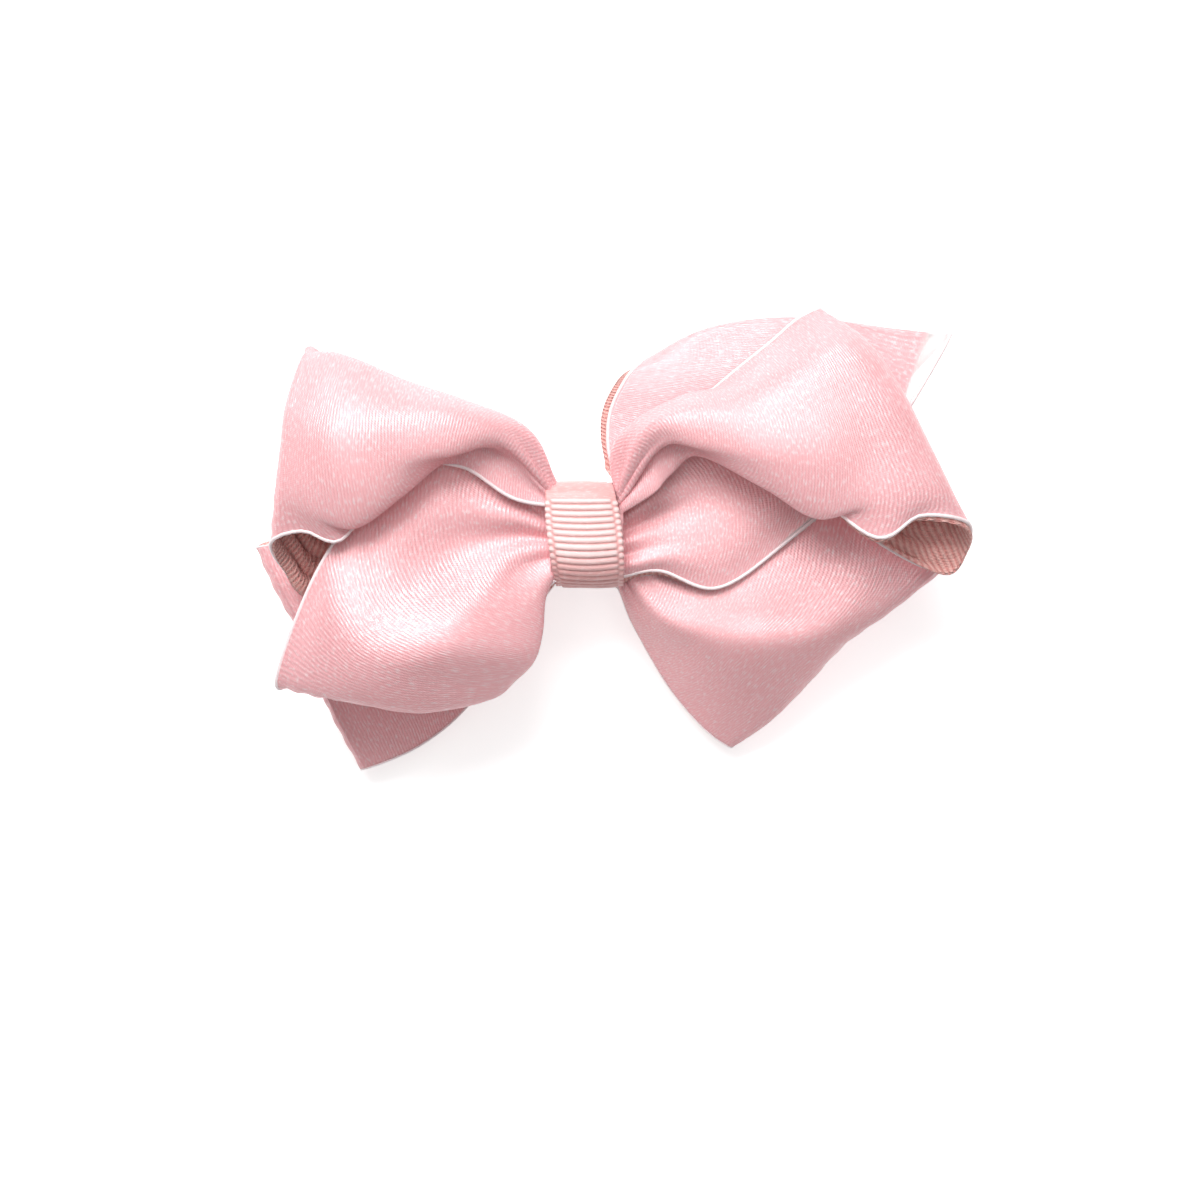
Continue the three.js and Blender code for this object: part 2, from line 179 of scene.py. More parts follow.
LOOPS = {
    "upper_left": [
        root_row(-1, 5, 5.8, 3.4),
        [(-6.4, 8.6, 13.8), (-6.9, 12.6, 17.4), (-9.3, 12.6, 20.8),
         (-10.6, 10.9, 20.9), (-9.4, 9.2, 18.3), (-9.4, 4.6, 17.4)],
        [(-15.0, 13.0, 14.0), (-15.5, 16.6, 18.8), (-16.5, 14.6, 23.2),
         (-17.3, 9.8, 23.2), (-15.2, 11.4, 19.4), (-15.4, 8.5, 18.0)],
        [(-22.8, 16.2, 15.0), (-23.4, 19.2, 19.4), (-24.2, 14.6, 24.0),
         (-24.4, 8.8, 24.4), (-23.2, 4.8, 22.3), (-21.0, 8.8, 19.0)],
        [(-28.0, 19.4, 15.6), (-28.8, 21.4, 19.6), (-30.4, 14.8, 24.2),
         (-30.6, 8.4, 24.8), (-29.2, 0.9, 22.6), (-27.0, 3.8, 19.6)],
        [(-31.6, 21.4, 16.0), (-32.3, 22.3, 19.2), (-34.0, 14.9, 23.2),
         (-34.4, 9.0, 23.8), (-34.2, 3.0, 22.8), (-31.0, -0.9, 20.8)],
        [(-33.6, 22.9, 15.9), (-34.9, 21.9, 18.4), (-36.2, 15.4, 21.8),
         (-36.6, 9.8, 22.4), (-36.8, 4.6, 21.8), (-35.4, 0.4, 20.6)],
        [(-34.8, 23.7, 15.8), (-36.0, 21.2, 17.8), (-37.5, 15.8, 20.0),
         (-38.1, 10.5, 20.4), (-38.7, 5.0, 20.0), (-39.4, -0.9, 18.6)],
        [(-34.6, 22.6, 12.8), (-38.4, -4.3, 13.6)],
        [(-27.5, 17.0, 10.8), (-33.5, -8.2, 10.6)],
        [(-12.5, 8.5, 11.3), (-14.5, -5.0, 11.1)],
        root_row(-1, 2, 5.0, -5.0),
    ],
    "lower_left": [
        root_row(-1, 4, 2.4, -5.8),
        [(-9.0, 7.2, 15.4), (-9.8, 3.0, 16.2), (-9.8, -0.8, 15.2),
         (-9.0, -4.2, 16.4), (-5.4, -7.8, 15.4), (-6.8, -7.4, 13.0)],
        [(-17.5, 9.6, 16.0), (-18.2, 3.2, 16.7), (-17.0, -3.0, 16.0),
         (-13.2, -8.8, 19.0), (-5.9, -12.2, 16.0), (-8.4, -11.0, 12.9)],
        [(-26.8, 4.6, 17.0), (-26.3, -2.4, 18.4), (-23.8, -8.6, 19.5),
         (-16.8, -13.4, 21.0), (-7.0, -15.6, 16.2), (-10.0, -13.8, 12.8)],
        [(-33.8, -4.6, 18.0), (-32.0, -9.6, 19.8), (-28.0, -14.6, 21.0),
         (-21.0, -17.5, 20.4), (-9.2, -18.3, 15.6), (-11.8, -15.8, 12.6)],
        [(-39.2, -18.2, 14.6), (-34.2, -20.0, 16.6), (-28.5, -21.2, 17.3),
         (-20.6, -22.4, 15.9), (-12.2, -20.4, 13.9), (-12.8, -17.2, 12.3)],
        [(-36.2, -16.5, 12.0), (-12.6, -16.6, 11.9)],
        [(-26.0, -4.0, 12.7), (-9.0, -12.5, 12.9)],
        [(-12.0, 2.5, 13.3), (-7.0, -8.0, 13.4)],
        root_row(-1, 3, 4.0, -5.6),
    ],
    "back_left": [
        root_row(-1, 1, 4.0, -5.6),
        [(-12.0, 2.5, 10.2), (-9.0, -12.5, 8.4)],
        [(-22.0, 1.0, 9.2), (-15.3, -21.8, 6.0)],
        [(-33.0, 0.0, 8.8), (-21.8, -27.2, 4.6)],
        [(-41.9, -1.4, 7.4), (-39.5, -7.0, 8.0), (-36.6, -12.5, 7.8),
         (-34.4, -18.5, 6.8), (-31.9, -24.4, 5.2), (-28.9, -30.1, 3.2)],
        [(-39.8, -0.6, 4.6), (-26.8, -28.4, 1.4)],
        [(-26.0, 1.0, 6.8), (-17.0, -20.0, 2.8)],
        [(-12.0, 2.0, 8.4), (-9.0, -10.0, 6.8)],
        root_row(-1, 0, 3.6, -5.4),
    ],
    "upper_right": [
        root_row(1, 5, 5.8, 2.4),
        [(3.8, 8.8, 13.6), (4.3, 12.2, 17.2), (7.4, 12.9, 20.8),
         (9.2, 11.3, 20.9), (8.0, 9.6, 18.2), (8.4, 5.1, 17.6)],
        [(11.8, 14.6, 14.4), (12.5, 17.4, 18.6), (14.0, 15.2, 22.6),
         (14.6, 10.9, 22.6), (11.4, 11.6, 19.4), (10.6, 7.6, 17.6)],
        [(18.6, 20.4, 16.2), (20.4, 18.0, 21.8), (22.4, 13.6, 24.2),
         (23.2, 8.8, 24.4), (22.0, 5.9, 22.2), (17.2, 14.2, 18.2)],
        [(23.0, 23.8, 16.8), (26.0, 20.0, 22.4), (28.6, 14.4, 24.4),
         (30.0, 8.2, 24.8), (29.0, 1.9, 22.7), (24.8, 9.4, 19.0)],
        [(26.2, 26.6, 17.2), (30.0, 22.2, 22.2), (33.0, 16.0, 23.8),
         (35.2, 9.4, 24.2), (36.4, 4.4, 24.2), (35.4, -0.3, 23.0)],
        [(28.2, 27.8, 17.2), (33.0, 23.4, 21.6), (37.2, 17.2, 23.0),
         (40.2, 10.6, 23.4), (42.6, 5.0, 23.4), (41.4, 2.2, 23.0)],
        [(29.3, 28.2, 17.0), (34.7, 24.2, 19.8), (39.0, 18.2, 21.2),
         (42.4, 11.4, 21.6), (45.3, 5.4, 21.8), (47.2, 1.5, 21.6)],
        [(30.0, 27.3, 16.2), (35.0, 23.2, 17.0), (39.2, 17.0, 17.2),
         (42.5, 10.0, 17.2), (45.8, 3.4, 17.2), (47.8, -1.2, 17.2)],
        [(29.5, 25.8, 15.8), (45.0, -4.5, 16.0)],
        [(25.5, 21.5, 15.3), (37.5, -1.2, 15.6)],
        [(17.5, 17.4, 15.2), (25.6, 7.6, 15.4)],
        [(9.0, 13.0, 15.0), (13.2, 11.2, 15.0)],
        root_row(1, 4, 5.9, 3.9),
    ],
    "back_right": [
        root_row(1, 3, 6.0, -5.4),
        [(2.7, 11.2, 13.6), (7.0, 8.2, 14.0), (9.3, 4.8, 14.0),
         (9.9, 1.5, 13.4), (9.9, -1.7, 14.2), (9.2, -4.5, 13.4)],
        [(3.0, 15.6, 13.8), (10.0, 13.5, 14.0), (15.5, 9.0, 14.0),
         (17.6, 4.5, 13.9), (18.2, -1.0, 14.2), (16.6, -6.7, 13.2)],
        [(4.7, 19.3, 13.8), (13.0, 18.5, 14.0), (20.5, 15.5, 13.9),
         (25.0, 11.0, 13.8), (27.0, 5.5, 13.7), (25.3, -0.9, 13.2)],
        [(6.3, 21.2, 13.2), (14.5, 22.5, 13.6), (24.0, 21.8, 13.8),
         (31.5, 18.5, 13.7), (36.0, 13.5, 13.4), (36.0, 9.0, 13.0)],
        [(7.7, 22.4, 10.8), (14.3, 25.7, 12.0), (22.0, 27.2, 12.4),
         (30.7, 27.3, 12.4), (38.3, 25.9, 12.0), (46.0, 24.7, 11.4)],
        [(8.6, 21.0, 9.4), (43.0, 22.3, 9.8)],
        [(6.5, 15.0, 9.6), (28.5, 7.6, 10.0)],
        [(5.2, 10.0, 10.2), (12.0, -3.4, 10.2)],
        root_row(1, 2, 5.0, -5.2),
    ],
    "lower_right": [
        root_row(1, 1, -5.8, 3.0),
        [(5.8, -11.0, 6.8), (7.6, -10.8, 9.4), (9.3, -9.9, 11.4),
         (10.5, -7.5, 11.3), (11.0, -4.5, 10.6), (11.0, -1.0, 10.2)],
        [(8.8, -16.4, 4.8), (12.0, -15.4, 8.5), (15.0, -12.9, 12.0),
         (17.5, -9.3, 12.4), (19.2, -4.6, 12.2), (19.8, 1.6, 11.4)],
        [(12.2, -21.6, 3.8), (16.6, -19.2, 8.0), (21.0, -14.3, 12.4),
         (25.0, -10.3, 12.9), (28.0, -4.6, 13.0), (29.4, 3.0, 11.6)],
        [(15.6, -25.3, 3.4), (20.3, -21.8, 7.0), (26.0, -16.0, 11.2),
         (32.0, -11.4, 12.6), (36.2, -6.0, 13.0), (38.4, 1.0, 12.4)],
        [(18.8, -27.4, 2.8), (23.8, -23.8, 5.0), (28.5, -18.9, 7.4),
         (32.8, -13.7, 9.8), (39.0, -9.2, 11.4), (45.0, -4.0, 11.8)],
        [(18.0, -25.0, 1.3), (43.2, -3.0, 8.2)],
        [(13.0, -17.0, 2.8), (30.0, 1.0, 8.2)],
        [(8.0, -9.5, 6.2), (13.0, 0.0, 8.4)],
        root_row(1, 0, -5.6, 3.4),
    ],
}


# The row of each net where the ribbon turns back
FOLD_ROWS = {
    "upper_left": 7, "lower_left": 5, "back_left": 4,
    "upper_right": 8, "back_right": 5, "lower_right": 5,
}


def full_net(rows):
    """All the rows with the same number of points."""
    count = max(len(row) for row in rows)
    shares = np.linspace(0, 1, count)
    net = []
    for row in rows:
        points = np.array(row, dtype=float)
        if len(points) == 2:
            points = points[0] + (points[1] - points[0]) * shares[:, None]
        net.append(points)
    return np.array(net)


def smooth_curve(points, at):
    """A Catmull-Rom curve through points, read at places from 0 to len(points) - 1."""
    first = 2 * points[0] - points[1]
    last = 2 * points[-1] - points[-2]
    padded = np.concatenate([[first], points, [last]])
    cell = np.clip(np.floor(at).astype(int), 0, len(points) - 2)
    t = (at - cell).reshape((-1,) + (1,) * (points.ndim - 1))
    a, b, c, d = (padded[cell + k] for k in range(4))
    return 0.5 * (2 * b + (c - a) * t + (2 * a - 5 * b + 4 * c - d) * t**2 + (3 * b - a - 3 * c + d) * t**3)


def distances(points):
    """How far each point lies along its line; rows of points are measured on average."""
    steps = np.linalg.norm(np.diff(points, axis=0), axis=-1)
    if steps.ndim > 1:
        steps = steps.mean(axis=1)
    return np.concatenate([[0], np.cumsum(steps)])


def normals_of(grid, side):
    """The outward direction at each point of a grid."""
    along = np.gradient(grid, axis=0)
    across = np.gradient(grid, axis=1)
    normal = np.cross(across, along) * side
    return normal / np.linalg.norm(normal, axis=2, keepdims=True)


def pleat_lift(grid, travel, fold, seed):
    """The height of the pleats. Where a leg is narrower than the cut width, the rest is in its pleats."""
    leg_width = np.linalg.norm(np.diff(grid, axis=1), axis=2).sum(axis=1)
    fullness = np.clip(RIBBON_WIDTH / leg_width, 1, MOST_FULLNESS)
    slope = PLEAT_SLOPE * np.sqrt(fullness**2 - 1)
    rise = np.clip(travel / FRONT_PLEAT_RISE, 0.5, 1)
    front = np.exp(-travel / FRONT_PLEAT_REACH) * rise * (travel < fold)
    back = np.clip((travel - fold) / BACK_PLEAT_RISE, 0, 1) ** 0.7
    share = np.linspace(0, 1, ACROSS_CELLS + 1)
    lift = np.zeros(grid.shape[:2])
    pleatings = [(FRONT_PLEATS, STEEPEST_FRONT, front), (BACK_PLEATS, STEEPEST_BACK, back)]
    for pleats, steepest, weight in pleatings:
        depth = np.minimum(slope, steepest) * leg_width / (FULL_TURN * pleats)
        lift += (weight * depth)[:, None] * np.sin(FULL_TURN * (pleats * share + PLEAT_SHIFT * seed))
    return lift


def lump_lift(travel, seed):
    """The slow unevenness of handled cloth, which fades out at both roots."""
    shares = np.linspace(0, 1, ACROSS_CELLS + 1)
    lift = np.zeros((len(travel), len(shares)))
    for i, gone in enumerate(travel):
        fade = min(min(gone, travel[-1] - gone) / LUMP_FADE, 1)
        for j, share in enumerate(shares):
            where = Vector((gone * LUMPS_ALONG, share * LUMPS_ACROSS, seed * LUMP_SHIFT))
            lift[i, j] = LUMP_HEIGHT * noise.noise(where) * fade
    return lift


def ribbon_grid(rows, side, seed, fold_row):
    """The ribbon's middle surface as an even grid of points, its normals and its length."""
    net = full_net(rows)
    rows_along = np.linspace(0, len(net) - 1, FINE_STEPS)
    travelled = distances(smooth_curve(net, rows_along))
    length = travelled[-1]
    travel = np.linspace(0, length, int(length / CELL_LENGTH) + 1)
    grid = smooth_curve(net, np.interp(travel, travelled, rows_along)).transpose(1, 0, 2)
    grid = smooth_curve(grid, np.linspace(0, net.shape[1] - 1, ACROSS_CELLS + 1)).transpose(1, 0, 2)
    fold = np.interp(fold_row, rows_along, travelled)
    lift = pleat_lift(grid, travel, fold, seed) + lump_lift(travel, seed)
    grid = grid + normals_of(grid, side) * lift[:, :, None]
    return grid, normals_of(grid, side), length


# ---------------------------------------------------------------- mesh helpers
def linked(name, mesh, material):
    """A smooth object in the scene with one material."""
    mesh.materials.clear()
    mesh.materials.append(material)
    mesh.polygons.foreach_set("use_smooth", [True] * len(mesh.polygons))
    obj = bpy.data.objects.new(name, mesh)
    bpy.context.scene.collection.objects.link(obj)
    return obj


def new_object(name, bm, material):
    """An object from a bmesh, which is used up."""
    mesh = bpy.data.meshes.new(name)
    bm.to_mesh(mesh)
    bm.free()
    return linked(name, mesh, material)


def cloth_strip(name, grid, length, width, material, turned):
    """A strip of cloth from a flat grid, carried onto the points of its shape; its UVs are millimetres."""
    rows, columns = grid.shape[:2]
    bm = bmesh.new()
    bmesh.ops.create_grid(bm, x_segments=rows - 1, y_segments=columns - 1, size=0.5)
    uv = bm.loops.layers.uv.new("ribbon")
    for face in bm.faces:
        for loop in face.loops:
            loop[uv].uv = ((loop.vert.co.x + 0.5) * length, (loop.vert.co.y + 0.5) * width)
    for vert in bm.verts:
        i = round((vert.co.x + 0.5) * (rows - 1))
        j = round((vert.co.y + 0.5) * (columns - 1))
        vert.co = Vector(grid[i, j]) * MM
    if turned:
        bmesh.ops.reverse_faces(bm, faces=bm.faces[:])
    return new_object(name, bm, material)


def thicken(obj, thickness):
    """Give a strip its thickness, half to each side."""
    solid = obj.modifiers.new("cloth thickness", "SOLIDIFY")
    solid.thickness = thickness * MM
    solid.offset = 0
    solid.use_even_offset = False


def tube_along(name, lines, radius, material, roundness=4):
    """Round cords along lists of points, made into one mesh."""
    curve = bpy.data.curves.new(name, "CURVE")
    curve.dimensions = "3D"
    curve.bevel_depth = radius * MM
    curve.bevel_resolution = roundness
    curve.use_fill_caps = True
    for line in lines:
        spline = curve.splines.new("POLY")
        spline.points.add(len(line) - 1)
        for point, co in zip(spline.points, line):
            point.co = (*(Vector(co) * MM), 1)
    holder = bpy.data.objects.new(name, curve)
    mesh = bpy.data.meshes.new_from_object(holder)
    bpy.data.objects.remove(holder)
    return linked(name, mesh, material)


# ---------------------------------------------------------------- materials
def set_inputs(made, values):
    """Constant values for a node's inputs, by their names."""
    for name, value in values.items():
        made.inputs[name].default_value = value


def new_material(name, values):
    """A material whose Principled shader has these constant values."""
    material = bpy.data.materials.new(name)
    material.use_nodes = True
    nodes, links = material.node_tree.nodes, material.node_tree.links
    shader = nodes["Principled BSDF"]
    set_inputs(shader, values)
    return material, nodes, links, shader


def node(nodes, kind, **values):
    """A node with its settings."""
    made = nodes.new(kind)
    for key, value in values.items():
        setattr(made, key, value)
    return made


def math_node(nodes, links, operation, *terms):
    """The result of one sum; each term is a number or another node's output."""
    made = node(nodes, "ShaderNodeMath", operation=operation)
    for slot, term in enumerate(terms):
        if isinstance(term, (int, float)):
            made.inputs[slot].default_value = term
        else:
            links.new(term, made.inputs[slot])
    return made.outputs[0]


def ranged(nodes, links, value, **limits):
    """A value carried from one range to another, as From_Min, From_Max, To_Min and To_Max say."""
    made = node(nodes, "ShaderNodeMapRange", clamp=True)
    set_inputs(made, {name.replace("_", " "): limit for name, limit in limits.items()})
    links.new(value, made.inputs["Value"])
    return made.outputs[0]


def noise_on(nodes, links, vector, scale, detail=2):
    """Noise read at a vector."""
    made = nodes.new("ShaderNodeTexNoise")
    set_inputs(made, {"Scale": scale, "Detail": detail})
    links.new(vector, made.inputs["Vector"])
    return made


def grain(nodes, links, scale):
    """Noise on the piece's own coordinates, with a scale along each axis."""
    place = nodes.new("ShaderNodeTexCoord")
    stretch = nodes.new("ShaderNodeMapping")
    stretch.inputs["Scale"].default_value = scale
    links.new(place.outputs["Object"], stretch.inputs[0])
    return noise_on(nodes, links, stretch.outputs[0], 1).outputs[0]


def mixed_colour(nodes, links, share, first, second):
    """A mix of two colours; the share and each colour is a constant or another node's output."""
    mix = node(nodes, "ShaderNodeMix", data_type="RGBA")
    for socket, value in [(mix.inputs[0], share), (mix.inputs[6], first), (mix.inputs[7], second)]:
        if isinstance(value, (int, float)):
            socket.default_value = value
        elif isinstance(value, tuple):
            socket.default_value = (*value, 1)
        else:
            links.new(value, socket)
    return mix.outputs[2]


def bumped(nodes, links, shader, height, strength, distance):
    """Relief on a shader; the distance is in millimetres."""
    bump = nodes.new("ShaderNodeBump")
    set_inputs(bump, {"Strength": strength, "Distance": distance * MM})
    links.new(height, bump.inputs["Height"])
    links.new(bump.outputs[0], shader.inputs["Normal"])


def build_weave_group():
    """Threads across a ribbon: fine weft lines, glints along single threads, and soft watered patches."""
    group = bpy.data.node_groups.new("ribbon weave", "ShaderNodeTree")
    face = group.interface
    face.new_socket("UV", in_out="INPUT", socket_type="NodeSocketVector")
    for name in ["Pitch", "Glint Amount", "Patch Size"]:
        face.new_socket(name, in_out="INPUT", socket_type="NodeSocketFloat").default_value = 1
    for name in ["Thread", "Glint", "Patch", "Height"]:
        face.new_socket(name, in_out="OUTPUT", socket_type="NodeSocketFloat")
    nodes, links = group.nodes, group.links
    given = nodes.new("NodeGroupInput")
    out = nodes.new("NodeGroupOutput")
    parts = nodes.new("ShaderNodeSeparateXYZ")
    links.new(given.outputs["UV"], parts.inputs[0])

    def sums(operation, *terms):
        return math_node(nodes, links, operation, *terms)

    # wandering threads: the length coordinate is nudged by a slow noise
    wander = noise_on(nodes, links, given.outputs["UV"], WANDER_SCALE, detail=3)
    nudged = sums("MULTIPLY_ADD", wander.outputs[0], WANDER, parts.outputs["X"])
    turns = sums("DIVIDE", nudged, given.outputs["Pitch"])
    wave = sums("SINE", sums("MULTIPLY", turns, FULL_TURN))
    thread = sums("MULTIPLY_ADD", wave, 0.5, 0.5)
    links.new(thread, out.inputs["Thread"])
    # glints: short bright dashes along the weft
    stretch = nodes.new("ShaderNodeCombineXYZ")
    links.new(sums("MULTIPLY", parts.outputs["X"], DASHES_ALONG), stretch.inputs[0])
    links.new(sums("MULTIPLY", parts.outputs["Y"], DASHES_ACROSS), stretch.inputs[1])
    dash = noise_on(nodes, links, stretch.outputs[0], 1.0)
    sharp = ranged(nodes, links, dash.outputs[0], From_Min=DASH_RANGE[0], From_Max=DASH_RANGE[1])
    links.new(sums("MULTIPLY", sharp, given.outputs["Glint Amount"]), out.inputs["Glint"])
    # watered patches
    patch = noise_on(nodes, links, given.outputs["UV"], 1.0)
    links.new(sums("DIVIDE", 1.0, given.outputs["Patch Size"]), patch.inputs["Scale"])
    links.new(patch.outputs[0], out.inputs["Patch"])
    # height: weft over and under the warp, with the glinting threads proud
    warp = sums("SINE", sums("MULTIPLY", parts.outputs["Y"], FULL_TURN / WARP_PITCH))
    weft = sums("MULTIPLY", thread, WEFT_RELIEF)
    woven = sums("MULTIPLY_ADD", sums("MULTIPLY", warp, wave), WARP_RELIEF, weft)
    links.new(sums("ADD", woven, sums("MULTIPLY", dash.outputs[0], DASH_RELIEF)), out.inputs["Height"])
    return group


WEAVE = build_weave_group()


def weave_in(nodes, links, pitch, glint):
    """The ribbon weave, placed in a material on the ribbon's own UV map."""
    uv = node(nodes, "ShaderNodeUVMap", uv_map="ribbon")
    weave = node(nodes, "ShaderNodeGroup", node_tree=WEAVE)
    set_inputs(weave, {"Pitch": pitch, "Glint Amount": glint, "Patch Size": PATCH_SIZE})
    links.new(uv.outputs[0], weave.inputs["UV"])
    return weave.outputs


def shimmer_material():
    """Sheer, slightly metallic ribbon with glinting threads; nearly clear where its sheer attribute says."""
    material, nodes, links, shader = new_material("shimmer ribbon", {
        "Metallic": 0.12, "Specular IOR Level": 0.4, "Anisotropic": 0.6,
        "Sheen Weight": 0.25, "Sheen Roughness": 0.35, "Sheen Tint": SHEEN_PINK,
    })
    weave = weave_in(nodes, links, WEFT_PITCH, 0.65)
    base = mixed_colour(nodes, links, weave["Thread"], SHIMMER_DEEP, SHIMMER_BRIGHT)
    watering = math_node(nodes, links, "MULTIPLY", weave["Patch"], 0.45)
    watered = mixed_colour(nodes, links, watering, base, SHIMMER_WATERED)
    colour = mixed_colour(nodes, links, weave["Glint"], watered, SHIMMER_GLINT)
    rough = ranged(nodes, links, weave["Glint"], To_Min=0.38, To_Max=0.2)
    links.new(rough, shader.inputs["Roughness"])
    bumped(nodes, links, shader, weave["Height"], 0.27, 0.2)
    sheer = node(nodes, "ShaderNodeAttribute", attribute_name="sheer").outputs["Fac"]
    links.new(math_node(nodes, links, "MULTIPLY_ADD", sheer, -0.55, 1.0), shader.inputs["Alpha"])
    links.new(mixed_colour(nodes, links, sheer, colour, SHEER_WHITE), shader.inputs["Base Color"])
    return material


def lining_material():
    """Matt grosgrain; its ribs go across the ribbon and follow its length. Its colour is its own salmon,
    with painted shade in the grooves between the ribs and a painted highlight where the ribs glint.
    """
    values = {"Roughness": 0.75, "Sheen Weight": 0.25}
    material, nodes, links, shader = new_material("grosgrain lining", values)
    weave = weave_in(nodes, links, RIB_PITCH, 0.35)
    # painted shade: the grooves between the ribs are darker than the ribs
    ribs = mixed_colour(nodes, links, weave["Thread"], LINING_GROOVE, LINING_RIB)
    lit_rib = tuple(min(1, part * 1.25) for part in LINING_RIB)
    links.new(mixed_colour(nodes, links, weave["Glint"], ribs, lit_rib), shader.inputs["Base Color"])
    bumped(nodes, links, shader, weave["Height"], 0.8, 0.35)
    return material


def band_material():
    """Satin ridges and darker grooves, coloured by the height of each rib: over the band's own salmon, the
    ridges carry a painted highlight, the grooves painted shade, and the ribs' colour fades into painted
    shade towards the band's lower side.
    """
    material, nodes, links, shader = new_material("grosgrain band", {"Roughness": 0.38, "Sheen Weight": 0.3})
    rib = node(nodes, "ShaderNodeAttribute", attribute_name="rib")
    weave = weave_in(nodes, links, WEFT_PITCH, 0.5)
    ribs = mixed_colour(nodes, links, rib.outputs["Fac"], BAND_GROOVE, BAND_RIB)
    # painted glints: the weave's glint mask whitens the band's colour
    painted_glint = math_node(nodes, links, "MULTIPLY", weave["Glint"], 0.5)
    links.new(mixed_colour(nodes, links, painted_glint, ribs, BAND_PAINTED_GLINT), shader.inputs["Base Color"])
    bumped(nodes, links, shader, weave["Glint"], 0.3, 0.15)
    return material


def cord_material():
    """White selvage cord, with the twist of its yarn."""
    material, nodes, links, shader = new_material("selvage cord", {"Roughness": 0.4, "Sheen Weight": 0.4})
    twist = grain(nodes, links, (2600, 2600, 2600))
    links.new(mixed_colour(nodes, links, twist, CORD_SHADE, CORD_WHITE), shader.inputs["Base Color"])
    bumped(nodes, links, shader, twist, 0.5, 0.1)
    return material


def steel_material():
    """Nickel-plated spring steel, brushed along the clip."""
    material, nodes, links, shader = new_material("nickel steel", {"Metallic": 1.0})
    brush = grain(nodes, links, (60, 1800, 1800))
    links.new(mixed_colour(nodes, links, brush, STEEL_DARK, STEEL_BRIGHT), shader.inputs["Base Color"])
    links.new(ranged(nodes, links, brush, To_Min=0.2, To_Max=0.42), shader.inputs["Roughness"])
    return material


def glue_material():
    """Clouded hot-melt glue."""
    material, nodes, links, shader = new_material("set glue", {"Roughness": 0.3})
    cloud = grain(nodes, links, (500, 500, 500))
    links.new(mixed_colour(nodes, links, cloud, GLUE_DEEP, GLUE_PALE), shader.inputs["Base Color"])
    bumped(nodes, links, shader, cloud, 0.4, 0.2)
    return material


def crushed_material():
    """The shimmer ribbon crushed into fine pleats, seen only in the gaps beside the knot."""
    material, nodes, links, shader = new_material("crushed shimmer", {"Roughness": 0.45})
    crush = grain(nodes, links, (300, 1500, 1500))
    links.new(mixed_colour(nodes, links, crush, CRUSHED_DEEP, CRUSHED_BRIGHT), shader.inputs["Base Color"])
    bumped(nodes, links, shader, crush, 0.6, 0.2)
    return material


def floor_material():
    """A pale sheet that glows a little, so that it stays pale in its corners."""
    return new_material("pale floor", {
        "Roughness": 0.9, "Base Color": (0.7, 0.7, 0.7, 1),
        "Emission Color": (1, 1, 1, 1), "Emission Strength": 0.6,
    })[0]


SHIMMER = shimmer_material()
LINING = lining_material()
BAND = band_material()
CORD = cord_material()
CRUSHED = crushed_material()
STEEL = steel_material()
GLUE = glue_material()


# ---------------------------------------------------------------- the loops
# The lining may reach past the shimmer's selvages, or stop short of them: millimetres at the front root,
# at the fold and at the back root, for the first selvage and for the other one.
LINING_REACH = {
    "upper_right": ([0.0, 0.0, 0.0], [-0.5, 0.9, 0.6]),
    "back_right": ([1.1, 0.9, 0.4], [1.4, -2.4, 0.4]),
    "lower_right": ([0.3, 0.3, 0.3], [0.3, 0.3, 0.3]),
}
REACH_COLUMNS = 6

# The share of the ribbon's length where each selvage cord starts, if it isn't the front root
CORD_STARTS = {"upper_right": (0.13, 0.33)}
THIN_CORDED = ("back_left", "lower_right")

# The strip of bare shimmer ribbon at the fold of the far loop
SHEER_STRIP = 3.2
SHEER_EDGE = 0.6
SHEER_REACH = 0.3


def reach_out(grid, reach):
    """The grid with its edge columns pushed outwards across the ribbon by changing amounts."""
    grid = grid.copy()
    along = np.linspace(0, 2, len(grid))
    for edge, step, amounts in [(0, 1, reach[0]), (grid.shape[1] - 1, -1, reach[1])]:
        amount = np.interp(along, [0, 1, 2], amounts)
        direction = grid[:, edge] - grid[:, edge + 2 * step]
        direction /= np.linalg.norm(direction, axis=1, keepdims=True)
        for k in range(REACH_COLUMNS):
            share = (1 - k / REACH_COLUMNS) * amount
            grid[:, edge + k * step] += direction * share[:, None]
    return grid


def mark_sheer(shimmer):
    """Where the lining stops short of the far corner, the shimmer ribbon is seen through."""
    values = np.zeros(len(shimmer.data.vertices))
    uv = shimmer.data.uv_layers["ribbon"].data
    length = max(item.uv[0] for item in uv)
    for loop, item in zip(shimmer.data.loops, uv):
        near_fold = max(0.0, 1 - abs(item.uv[0] / length - 0.5) / SHEER_REACH)
        strip = (item.uv[1] - (RIBBON_WIDTH - SHEER_STRIP * near_fold)) / SHEER_EDGE
        values[loop.vertex_index] = max(0.0, min(1.0, strip)) * min(1.0, near_fold * 3)
    shimmer.data.attributes.new("sheer", "FLOAT", "POINT").data.foreach_set("value", values)


